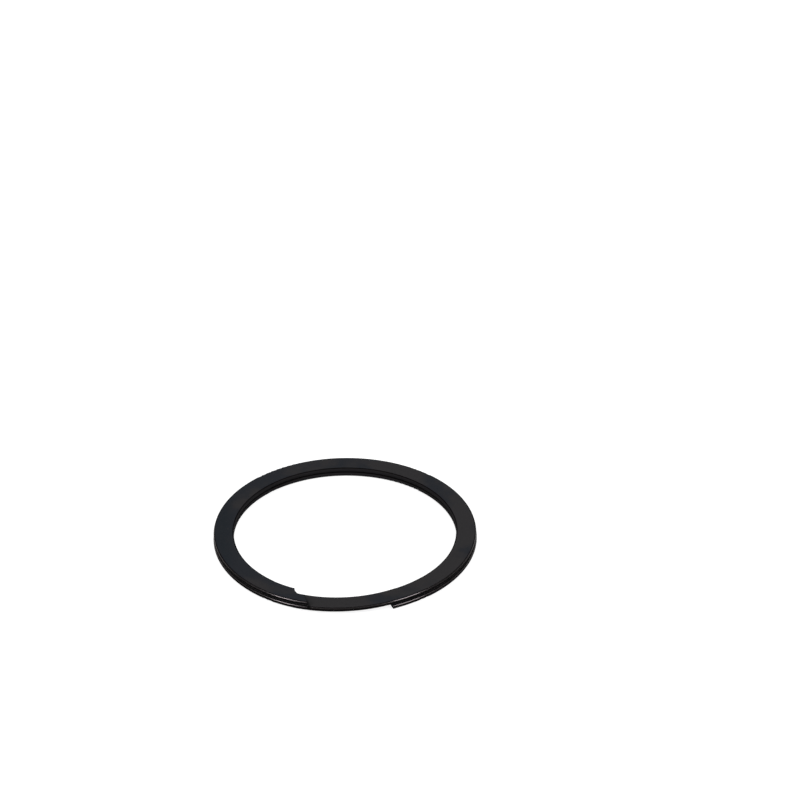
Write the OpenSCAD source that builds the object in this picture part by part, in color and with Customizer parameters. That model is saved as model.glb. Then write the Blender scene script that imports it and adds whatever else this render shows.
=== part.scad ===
// Spiral retaining ring for a shaft.
// One flat steel wire is wound on edge in two turns that lie face to face. At the front (-Y) it
// climbs a gentle ramp from the lower turn to the upper one, and its two ends lie on that ramp.
// Sizes are in millimetres. Directions are in degrees round the axis, measured from the front
// and positive to the right, as seen from above.

/* [Wire] */
// Thickness of the wire, along the axis of the ring
wire_t = 0.97; // [0.6:0.01:2]
// Width of the wire, from the bore to the outside
wire_w = 4.2; // [3:0.1:7]
// Radius of the four rounded edges of the wire
edge_r = 0.38; // [0.1:0.01:0.6]

/* [Coil] */
// Diameter of the bore while the ring lies free
bore_d = 46; // [36:1:80]
// Space between the two turns
turn_gap = 0.1; // [0.04:0.01:0.14]

/* [Ramp] */
// Length across the front over which the wire climbs from one turn to the next
ramp_l = 28.8; // [24:0.4:34]
// Length of the soft bend at the foot and at the top of the ramp
bend_l = 4; // [2:0.4:8]

/* [Ends] */
// Direction of the upper end's tip
upper_end_a = -16; // [-22:0.5:-10]
// Slant of the cut across the upper end, against a square cut
upper_cut_slant = 29; // [0:1:35]
// Direction of the lower end, which is cut square
lower_end_a = 21.6; // [12:0.1:26]
// The half turn behind the upper end has closed to a radius that is smaller by this much
upper_tuck = 0.04; // [0:0.01:0.2]
// The half turn behind the lower end has opened to a radius that is larger by this much
lower_spring = 0.09; // [0:0.01:0.3]

/* [Removal notch] */
// Radius of the scallop in the inner edge of the upper end
notch_r = 3; // [2:0.1:6]
// Depth of the scallop into the wire
notch_depth = 2.15; // [0.8:0.05:2.6]
// Distance from the tip back to the deepest place of the scallop
notch_back = 1.4; // [0:0.1:3]

/* [Hidden] */
$fn = 180;

// Cutters run on past what they cut by this much
spare = 5;
// Directions between which the wire is drawn level before it is tilted onto the ramp
front_a = 75;
// The upper end is drawn this many degrees too long before it is cut
tip_spare_a = 5;
// A bend runs on by this much inside the wire at each of its ends
lap = 0.2;

bore_r = bore_d / 2;
outer_r = bore_r + wire_w;
// The rounded edges leave at least a tenth of the thickness flat between them
corner_r = min(edge_r, 0.45 * wire_t);

// The ramp has half its full slope in the two bends
turn_rise = wire_t + turn_gap;
ramp_end = ramp_l / 2;
middle_end = ramp_end - bend_l;
full_slope = turn_rise / (ramp_l - bend_l);
bend_rise = bend_l * full_slope / 2;
// The wire is slimmer in the bends, all round, by half of what the ramp climbs in a millimetre.
// So each bend ends inside the wire that it joins, and no two faces fall together.
bend_inset = 0.5 * full_slope;

// The lower end dips under the ramp. The ring is lifted by that dip, so that it lies on z = 0.
lower_tip_x = (bore_r + lower_spring + corner_r) * sin(lower_end_a);
dip = max(0, turn_rise / 2 - lower_tip_x * sin(atan(full_slope)));

// Cross-section of the wire, beside the axis: flat faces and rounded edges
module wire_section(inset) {
    r = corner_r - inset;
    translate([bore_r + inset, inset]) {
        width = wire_w - 2 * inset;
        height = wire_t - 2 * inset;
        translate([r, 0])
            square([width - 2 * r, height]);
        translate([0, r])
            square([width, height - 2 * r]);
        for (x = [r, width - r], y = [r, height - r])
            translate([x, y])
                circle(r = r, $fn = 40);
    }
}

// A level stretch of the wire between two directions. A sprung stretch has a larger radius, or a
// smaller one, and still touches the ring's own round at the back.
module level_wire(from_a, to_a, inset = 0, spring = 0) {
    translate([0, -spring, 0])
        rotate([0, 0, from_a - 90])
            rotate_extrude(angle = to_a - from_a)
                translate([spring, 0])
                    wire_section(inset);
}

// The front of the ring between two planes across it
module front_slab(from_x, to_x) {
    translate([from_x, -outer_r - spare, -spare])
        cube([to_x - from_x, outer_r + spare, 2 * spare + wire_t]);
}

// A level turn, open at the front where the ramp runs. Its two halves meet at the back.
module level_turn(left_spring, right_spring) {
    difference() {
        union() {
            level_wire(180, 360, 0, left_spring);
            level_wire(0, 180, 0, right_spring);
        }
        front_slab(-ramp_end, ramp_end);
    }
}

// Tilts a level wire onto a slope and sets it at a height, both at one place across the front
module on_slope(at_x, height, slope) {
    translate([at_x, 0, height])
        rotate([0, -atan(slope), 0])
            translate([-at_x, 0, 0])
                children();
}

// The straight middle of the ramp, between two directions
module ramp_middle(from_a, to_a, spring = 0) {
    on_slope(0, turn_rise / 2, full_slope)
        intersection() {
            level_wire(from_a, to_a, 0, spring);
            front_slab(-middle_end, middle_end);
        }
}

// The bend at the foot of the ramp (side -1) or at its top (side 1)
module ramp_bend(side, spring = 0) {
    at_x = side * (middle_end + bend_l / 2);
    height = turn_rise / 2 + side * (turn_rise - bend_rise) / 2;
    on_slope(at_x, height, full_slope / 2)
        intersection() {
            level_wire(-front_a, front_a, bend_inset, spring);
            front_slab(at_x - bend_l / 2 - lap, at_x + bend_l / 2 + lap);
        }
}

// The wire on its way from the lower turn, on the left, to the upper turn, on the right
module climb() {
    ramp_bend(-1);
    ramp_middle(-front_a, front_a);
    ramp_bend(1);
}

// Scallop in the inner edge, for the tool that lifts the upper end out of its groove
module removal_notch() {
    setback_a = notch_back / outer_r * 180 / PI;
    translate([0, upper_tuck, 0])
        rotate([0, 0, upper_end_a - setback_a - 90])
            translate([bore_r - upper_tuck + notch_depth - notch_r, 0, -spare])
                cylinder(r = notch_r, h = wire_t + 2 * spare);
}

// Everything that lies past the slanted cut across the upper end
module past_upper_cut() {
    translate([0, upper_tuck, 0])
        rotate([0, 0, upper_end_a - 90])
            translate([outer_r - upper_tuck, 0, -spare])
                rotate([0, 0, upper_cut_slant])
                    translate([-3 * wire_w, 0, 0])
                        cube([4 * wire_w, 3 * wire_w, wire_t + 2 * spare]);
}

// The upper turn ends on the left half of the ramp, in a slanted cut behind the removal notch
module upper_turn() {
    difference() {
        union() {
            level_turn(-upper_tuck, 0);
            ramp_bend(-1, -upper_tuck);
            difference() {
                ramp_middle(-front_a, upper_end_a + tip_spare_a, -upper_tuck);
                past_upper_cut();
            }
        }
        removal_notch();
    }
}

// The lower turn ends under the right half of the ramp, in a square cut
module lower_turn() {
    level_turn(0, lower_spring);
    translate([0, 0, -turn_rise]) {
        ramp_middle(lower_end_a, front_a, lower_spring);
        ramp_bend(1, lower_spring);
    }
}

module retaining_ring() {
    color([0.17, 0.17, 0.18])
        translate([0, 0, dip]) {
            lower_turn();
            climb();
            translate([0, 0, turn_rise])
                upper_turn();
        }
}

retaining_ring();
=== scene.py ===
"""Looks for the two-turn retaining ring: satin black oxide on flat spring steel wire.

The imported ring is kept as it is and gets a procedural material. Lengths are in metres. The camera
stands where the photograph was taken from, worked out from where its ring lies in the picture.
"""

import functools
import math

import bpy
from mathutils import Matrix, Vector

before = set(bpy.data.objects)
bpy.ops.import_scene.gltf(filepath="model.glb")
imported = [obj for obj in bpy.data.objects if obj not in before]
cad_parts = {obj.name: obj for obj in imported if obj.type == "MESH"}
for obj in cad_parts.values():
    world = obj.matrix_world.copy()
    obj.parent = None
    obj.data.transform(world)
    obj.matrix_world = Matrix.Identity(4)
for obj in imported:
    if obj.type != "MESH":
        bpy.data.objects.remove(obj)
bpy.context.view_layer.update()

MM = 0.001

# The ring, as the part's source has it
WIRE_THICKNESS = 0.97 * MM
WIRE_WIDTH = 4.2 * MM
EDGE_RADIUS = 0.38 * MM
BORE_RADIUS = 23 * MM
MIDDLE_RADIUS = BORE_RADIUS + WIRE_WIDTH / 2
TURN_GAP = 0.1 * MM
TURN_RISE = WIRE_THICKNESS + TURN_GAP
LEVEL_HEIGHT = 0.163 * MM
RAMP_LENGTH = 28.8 * MM
BEND_LENGTH = 4 * MM
HALF_SLOPE = TURN_RISE / (RAMP_LENGTH - BEND_LENGTH) / 2
UPPER_TUCK = 0.04 * MM
LOWER_SPRING = 0.09 * MM
UPPER_END = math.radians(-16)
UPPER_CUT_SLANT = math.radians(29)

# The finish. Faces are between blue and brown, and rounded edges go from a painted shade black to worn;
# the outer wall and the far left are painted shade.
BLUE = (0.0146, 0.0166, 0.0215, 1)
PAINTED_SHADE_BLUE = (0.0090, 0.0128, 0.0175, 1)
BROWN = (0.0250, 0.0236, 0.0250, 1)
PALE = (0.034, 0.033, 0.033, 1)
PAINTED_SHADE_BLACK = (0.0010, 0.0010, 0.0011, 1)
WORN = (0.086, 0.076, 0.079, 1)
# The outer wall's colour is painted shade, darker than the oxide; the bore wall keeps about the oxide's
# own grey.
PAINTED_SHADE_OUTER_WALL = (0.0045, 0.0042, 0.0044, 1)
BORE_WALL = (0.0230, 0.0220, 0.0240, 1)

# The photograph
PICTURE = 800
FOCAL_PIXELS = 6000
CAMERA_ELEVATION = math.radians(33.24)
CAMERA_ROLL = math.radians(-0.35)
CAMERA_HEIGHT = 0.7049
AXIS_ON_FLOOR_PIXEL = (344.97, 539.09)
SENSOR_WIDTH = 36

# The white table
FLOOR_HALF = 3.0
FLOOR_COLOUR = (0.4, 0.4, 0.4, 1)
PAPER_GLOW = 0.85


# Node helpers


class Nodes:
    """A material's or world's nodes, with short calls that make and link them."""

    def __init__(self, tree):
        self.tree = tree
        self.tree.nodes.clear()

    def add(self, kind, inputs=None, **settings):
        node = self.tree.nodes.new(kind)
        for name, value in settings.items():
            setattr(node, name, value)
        for name, value in (inputs or {}).items():
            self.plug(node, name, value)
        return node

    def plug(self, node, name, value):
        socket = node.inputs[name]
        if isinstance(value, bpy.types.NodeSocket):
            self.tree.links.new(value, socket)
        else:
            socket.default_value = value

    def finish(self, kind, shader):
        self.add(kind, {"Surface": shader})

    def math(self, operation, first, second=0.0):
        inputs = {0: first, 1: second}
        return self.add("ShaderNodeMath", inputs, operation=operation).outputs[0]

    def plus(self, *values):
        return functools.reduce(lambda first, second: self.math("ADD", first, second), values)

    def minus(self, first, second):
        return self.math("SUBTRACT", first, second)

    def times(self, *values):
        return functools.reduce(lambda first, second: self.math("MULTIPLY", first, second), values)

    def vector_math(self, operation, inputs, output="Vector"):
        return self.add("ShaderNodeVectorMath", inputs, operation=operation).outputs[output]

    def length(self, vector):
        return self.vector_math("LENGTH", {0: vector}, "Value")

    def unit(self, vector):
        return self.vector_math("NORMALIZE", {0: vector})

    def scaled(self, vector, factor):
        return self.vector_math("SCALE", {0: vector, "Scale": factor})

    def dot(self, first, second):
        return self.vector_math("DOT_PRODUCT", {0: first, 1: second}, "Value")

    def split(self, vector):
        return self.add("ShaderNodeSeparateXYZ", {"Vector": vector}).outputs

    def join(self, x, y, z):
        return self.add("ShaderNodeCombineXYZ", {"X": x, "Y": y, "Z": z}).outputs[0]

    def noise(self, vector, scale, detail, roughness):
        inputs = {"Vector": vector, "Scale": scale, "Detail": detail, "Roughness": roughness}
        return self.add("ShaderNodeTexNoise", inputs).outputs["Fac"]

    def ramp(self, value, low, high, to_low=0.0, to_high=1.0):
        """A smooth step from to_low, where the value is low, to to_high, where it is high."""
        inputs = {"Value": value, "From Min": low, "From Max": high, "To Min": to_low, "To Max": to_high}
        node = self.add("ShaderNodeMapRange", inputs, interpolation_type="SMOOTHSTEP")
        return node.outputs["Result"]

    def mix(self, factor, first, second):
        """A colour between two colours."""
        inputs = {0: factor, 6: first, 7: second}
        return self.add("ShaderNodeMix", inputs, data_type="RGBA").outputs[2]

    def choose(self, factor, first, second):
        """The first vector where the factor is 0, and the second where it is 1."""
        inputs = {0: factor, 4: first, 5: second}
        return self.add("ShaderNodeMix", inputs, data_type="VECTOR").outputs[1]


# The wire's own section, by which a place on its surface gets the exact direction that it faces


def past_flat(n, place, size):
    """How far a place lies past the flat part of one side of the section, with its sign."""
    from_middle = n.minus(place, size / 2)
    past = n.minus(n.math("ABSOLUTE", from_middle), size / 2 - EDGE_RADIUS)
    return n.times(n.math("MAXIMUM", past, 0.0), n.math("SIGN", from_middle))


def place_on_turn(n, xyz):
    """The turn that a place is on, its height in that turn's section, and the wire's slope there.

    The wire climbs by half its slope along the whole ramp and by as much again between the bends.
    Behind the axis, the distance across is stretched, so that all of it lies past the ramp.
    """
    behind = n.math("GREATER_THAN", xyz["Y"], 0.0)
    across = n.times(xyz["X"], n.plus(n.times(behind, 1000.0), 1.0))
    climb = 0.0
    for length in (RAMP_LENGTH, RAMP_LENGTH - 2 * BEND_LENGTH):
        run = n.math("MINIMUM", n.math("MAXIMUM", n.plus(across, length / 2), 0.0), length)
        climb = n.plus(climb, n.times(run, HALF_SLOPE))
    height = n.minus(n.minus(xyz["Z"], LEVEL_HEIGHT), climb)
    turn = n.math("FLOOR", n.math("DIVIDE", n.plus(height, TURN_GAP / 2), TURN_RISE))
    height = n.minus(height, n.times(turn, TURN_RISE))

    bend_start = RAMP_LENGTH / 2 - BEND_LENGTH
    slope = n.ramp(n.math("ABSOLUTE", across), bend_start, RAMP_LENGTH / 2, -2 * HALF_SLOPE, 0.0)
    return turn, height, slope


def wire_normal(n, xyz):
    """The normal of the flat faces, walls and rounded edges, on the level turns and on the ramp."""
    turn, height, slope = place_on_turn(n, xyz)
    tucked = n.times(n.math("GREATER_THAN", turn, 0.5), -UPPER_TUCK)
    sprung = n.times(n.math("LESS_THAN", turn, -0.5), LOWER_SPRING)
    spring = n.plus(tucked, sprung)

    spoke = n.join(xyz["X"], n.plus(xyz["Y"], spring), 0.0)
    radius = n.minus(n.length(spoke), spring)
    spoke = n.unit(spoke)
    outward = n.scaled(spoke, past_flat(n, n.minus(radius, BORE_RADIUS), WIRE_WIDTH))
    upward = n.scaled(n.join(slope, 0.0, 1.0), past_flat(n, height, WIRE_THICKNESS))
    exact = n.unit(n.vector_math("ADD", {0: outward, 1: upward}))

    # The notch and the cut ends, which face along the wire, keep the normal of the mesh
    mesh = n.add("ShaderNodeNewGeometry").outputs
    along = n.vector_math("CROSS_PRODUCT", {0: spoke, 1: (0, 0, 1)})
    faces_along = n.math("ABSOLUTE", n.dot(along, mesh["True Normal"]))
    on_side = n.math("LESS_THAN", faces_along, 0.7)
    agree = n.math("GREATER_THAN", n.dot(exact, mesh["True Normal"]), 0.1)
    return n.choose(n.times(agree, on_side), mesh["Normal"], exact)


# Materials


def warmth_and_painted_shadow_past_cut(n, xyz, radius, normal):
    """Shares of the warmer ramp and of a painted shadow line at the foot of the step, which both lie
    just past the upper cut.
    """
    facing = UPPER_END + UPPER_CUT_SLANT
    along_x = n.times(xyz["X"], math.cos(facing))
    along_y = n.times(xyz["Y"], math.sin(facing))
    tip_place = -(BORE_RADIUS + WIRE_WIDTH) * math.sin(UPPER_CUT_SLANT)
    past_cut = n.minus(n.plus(along_x, along_y), tip_place)
    on_top = n.math("GREATER_THAN", n.split(normal)["Z"], 0.1)
    front_top = n.times(n.math("LESS_THAN", xyz["Y"], 0.0), on_top)

    starts = n.ramp(past_cut, 0.0, 0.3 * MM)
    fades = n.ramp(past_cut, 4 * MM, 9 * MM, 1.0, 0.0)
    warm = n.times(front_top, starts, fades)

    # Painted shadow: a dark line at the foot of the step, widest towards the tip.
    starts = n.ramp(past_cut, -0.25 * MM, 0.1 * MM)
    fades = n.ramp(past_cut, 0.3 * MM, 0.9 * MM, 0.9, 0.0)
    towards_tip = n.ramp(radius, MIDDLE_RADIUS - 1 * MM, MIDDLE_RADIUS + 0.6 * MM, 0.2, 1.0)
    painted_shadow_line = n.times(starts, fades, towards_tip, front_top)
    return warm, painted_shadow_line


def face_colour(n, place, xyz, grain, warm):
    """Mottled oxide with a pale grain and specks, a painted tint from bluish on the left to brownish on
    the right, and painted shade on the far left.
    """
    cloud = n.noise(place, scale=140, detail=4, roughness=0.55)
    # The tint by X, bluish on the left and brownish on the right, is painted light.
    warmth = n.plus(cloud, n.times(xyz["X"], 3.0))
    warmth = n.plus(warmth, n.times(warm, 0.12))
    colour = n.mix(n.ramp(warmth, 0.4, 0.6), BLUE, BROWN)
    # Painted shade: the faces darken to a deeper blue towards the far left.
    far_left_painted_shade = n.ramp(xyz["X"], -25.5 * MM, -21.5 * MM, 0.8, 0.0)
    colour = n.mix(far_left_painted_shade, colour, PAINTED_SHADE_BLUE)
    colour = n.mix(n.times(n.ramp(grain, 0.45, 0.8), 0.2), colour, PALE)
    speck = n.ramp(n.noise(place, scale=1500, detail=1, roughness=0.4), 0.72, 0.78)
    return n.mix(n.times(speck, 0.6), colour, PALE)


def black_oxide():
    """Satin black oxide: mottled faces, fine rolling lines along the wire, worn rounded edges, and
    painted shade on the edges, the outer wall and the far left.
    """
    material = bpy.data.materials.new("black_oxide")
    material.use_nodes = True
    n = Nodes(material.node_tree)

    place = n.add("ShaderNodeTexCoord").outputs["Object"]
    xyz = n.split(place)
    radius = n.length(n.join(xyz["X"], xyz["Y"], 0.0))
    along = n.times(n.math("ARCTAN2", xyz["Y"], xyz["X"]), MIDDLE_RADIUS)
    stretched = n.join(n.times(along, 0.04), radius, xyz["Z"])
    grain = n.noise(place, scale=2600, detail=3, roughness=0.6)
    lines = n.noise(stretched, scale=9000, detail=3, roughness=0.6)

    # The edges by their slope: all that isn't flat face, and the worn crest of the rounding
    normal = wire_normal(n, xyz)
    upward = n.math("ABSOLUTE", n.split(normal)["Z"])
    off_face = n.ramp(upward, 0.95, 0.9995, 1.0, 0.0)
    outside = n.ramp(radius, MIDDLE_RADIUS, MIDDLE_RADIUS + 1 * MM, 0.15, 1.0)
    crest = n.times(n.ramp(upward, 0.25, 0.42), n.ramp(upward, 0.72, 0.88, 1.0, 0.0))
    scuffs = n.ramp(n.noise(stretched, scale=900, detail=3, roughness=0.6), 0.35, 0.7, 0.8, 1.0)
    wear = n.times(crest, outside, scuffs)

    warm, painted_shadow_line = warmth_and_painted_shadow_past_cut(n, xyz, radius, normal)
    colour = face_colour(n, place, xyz, grain, warm)
    # Painted shade: the rounded edges off the flat face turn near black.
    colour = n.mix(off_face, colour, PAINTED_SHADE_BLACK)
    # Painted shade on the outer wall, whose colour is much darker than the bore wall's.
    wall_top = n.ramp(radius, MIDDLE_RADIUS, MIDDLE_RADIUS + 1 * MM, 0.85, 0.4)
    wall_colour = n.mix(outside, BORE_WALL, PAINTED_SHADE_OUTER_WALL)
    colour = n.mix(n.ramp(upward, 0.1, wall_top, 1.0, 0.0), colour, wall_colour)
    colour = n.mix(wear, colour, WORN)
    # Painted shadow at the foot of the upper cut's step.
    colour = n.mix(painted_shadow_line, colour, PAINTED_SHADE_BLACK)

    roughness = n.plus(n.ramp(grain, 0.3, 0.7, 0.36, 0.48), n.ramp(lines, 0.3, 0.7, -0.04, 0.04))
    roughness = n.plus(roughness, n.times(off_face, 0.4))
    roughness = n.minus(roughness, n.times(wear, 0.66))
    height = n.plus(n.times(grain, 0.6), n.times(lines, 0.4))
    bump = {"Height": height, "Strength": 0.15, "Distance": 0.004 * MM, "Normal": normal}
    inputs = {
        "Base Color": colour,
        "Roughness": roughness,
        "Metallic": n.times(wear, 0.9),
        "Specular IOR Level": 0.02,
        "Normal": n.add("ShaderNodeBump", bump).outputs["Normal"],
    }
    n.finish("ShaderNodeOutputMaterial", n.add("ShaderNodeBsdfPrincipled", inputs).outputs[0])
    return material


def white_floor():
    """A white table that keeps the ring's soft shadow and shows as white paper to the camera."""
    material = bpy.data.materials.new("white_floor")
    material.use_nodes = True
    n = Nodes(material.node_tree)
    diffuse = n.add("ShaderNodeBsdfDiffuse", {"Color": FLOOR_COLOUR}).outputs[0]
    rays = n.add("ShaderNodeLightPath").outputs
    seen = n.math("MAXIMUM", rays["Is Camera Ray"], rays["Is Glossy Ray"])
    seen = n.math("MAXIMUM", seen, rays["Is Transmission Ray"])
    glow = n.add("ShaderNodeEmission", {"Strength": n.times(seen, PAPER_GLOW)}).outputs[0]
    both = n.add("ShaderNodeAddShader", {0: diffuse, 1: glow}).outputs[0]
    n.finish("ShaderNodeOutputMaterial", both)
    return material


# Stage


def camera_axes():
    """Right, up and forward of the photograph's camera. Its plan direction is +Y."""
    forward = Vector((0, math.cos(CAMERA_ELEVATION), -math.sin(CAMERA_ELEVATION)))
    level_right = Vector((1, 0, 0))
    level_up = level_right.cross(forward)
    cos_roll, sin_roll = math.cos(CAMERA_ROLL), math.sin(CAMERA_ROLL)
    right = cos_roll * level_right + sin_roll * level_up
    up = cos_roll * level_up - sin_roll * level_right
    return right, up, forward


def add_camera():
    """The photograph's camera, from which the ring's axis meets the floor at its own pixel."""
    right, up, forward = camera_axes()
    across = (AXIS_ON_FLOOR_PIXEL[0] - PICTURE / 2) / FOCAL_PIXELS
    down = (AXIS_ON_FLOOR_PIXEL[1] - PICTURE / 2) / FOCAL_PIXELS
    ray = forward + across * right - down * up
    to_axis = ray * (-CAMERA_HEIGHT / ray.z)
    data = bpy.data.cameras.new("camera")
    data.sensor_width = SENSOR_WIDTH
    data.lens = FOCAL_PIXELS / PICTURE * SENSOR_WIDTH
    data.clip_start = 0.05
    data.clip_end = 20
    camera = bpy.data.objects.new("camera", data)
    bpy.context.scene.collection.objects.link(camera)
    turn = Matrix((right, up, -forward)).transposed()
    camera.matrix_world = Matrix.Translation(-to_axis) @ turn.to_4x4()
    bpy.context.scene.camera = camera


def add_floor():
    """The table under the ring, an object of its own."""
    mesh = bpy.data.meshes.new("floor")
    corners = [(x * FLOOR_HALF, y * FLOOR_HALF, 0) for x, y in ((-1, -1), (1, -1), (1, 1), (-1, 1))]
    mesh.from_pydata(corners, [], [(0, 1, 2, 3)])
    floor = bpy.data.objects.new("floor", mesh)
    bpy.context.scene.collection.objects.link(floor)
    mesh.materials.append(white_floor())


def add_softbox(name, direction, lengthwise, width, length, power):
    """A softbox a metre away that faces the ring, with its length laid in a direction."""
    data = bpy.data.lights.new(name, "AREA")
    data.shape = "RECTANGLE"
    data.size = width
    data.size_y = length
    data.energy = power
    lamp = bpy.data.objects.new(name, data)
    bpy.context.scene.collection.objects.link(lamp)
    towards = Vector(direction).normalized()
    across = Vector(lengthwise).cross(towards).normalized()
    along = towards.cross(across)
    turn = Matrix((across, along, towards)).transposed()
    lamp.matrix_world = Matrix.Translation(towards) @ turn.to_4x4()


def add_world():
    """A dark studio with a pale wall behind the ring and a pale panel overhead."""
    world = bpy.data.worlds.new("studio")
    world.use_nodes = True
    bpy.context.scene.world = world
    n = Nodes(world.node_tree)
    direction = n.split(n.add("ShaderNodeTexCoord").outputs["Generated"])
    wall_foot = n.ramp(direction["Z"], 0.15, 0.45, 0.1, 1.0)
    wall_head = n.ramp(direction["Z"], 0.6, 0.75, 1.0, 0.08)
    wall_side = n.ramp(direction["Y"], 0.55, 0.8, 0.06, 2.2)
    panel = n.ramp(direction["Z"], 0.86, 0.95, 0.0, 1.3)
    level = n.plus(n.times(wall_foot, wall_head, wall_side), panel)
    background = n.add("ShaderNodeBackground", {"Color": (1, 1, 1, 1), "Strength": level})
    n.finish("ShaderNodeOutputWorld", background.outputs[0])


add_camera()
add_floor()
add_world()
add_softbox(
    name="left_softbox",
    direction=(-0.69, -0.46, 0.56),
    lengthwise=(0.28, 0.565, 0.777),
    width=0.07,
    length=0.55,
    power=4.5,
)
add_softbox(
    name="right_softbox",
    direction=(0.665, -0.475, 0.577),
    lengthwise=(-0.28, 0.565, 0.777),
    width=0.4,
    length=0.55,
    power=4.6,
)

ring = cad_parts["retaining_ring"]
ring.data.materials.clear()
ring.data.materials.append(black_oxide())

bpy.context.scene.view_settings.view_transform = "Standard"
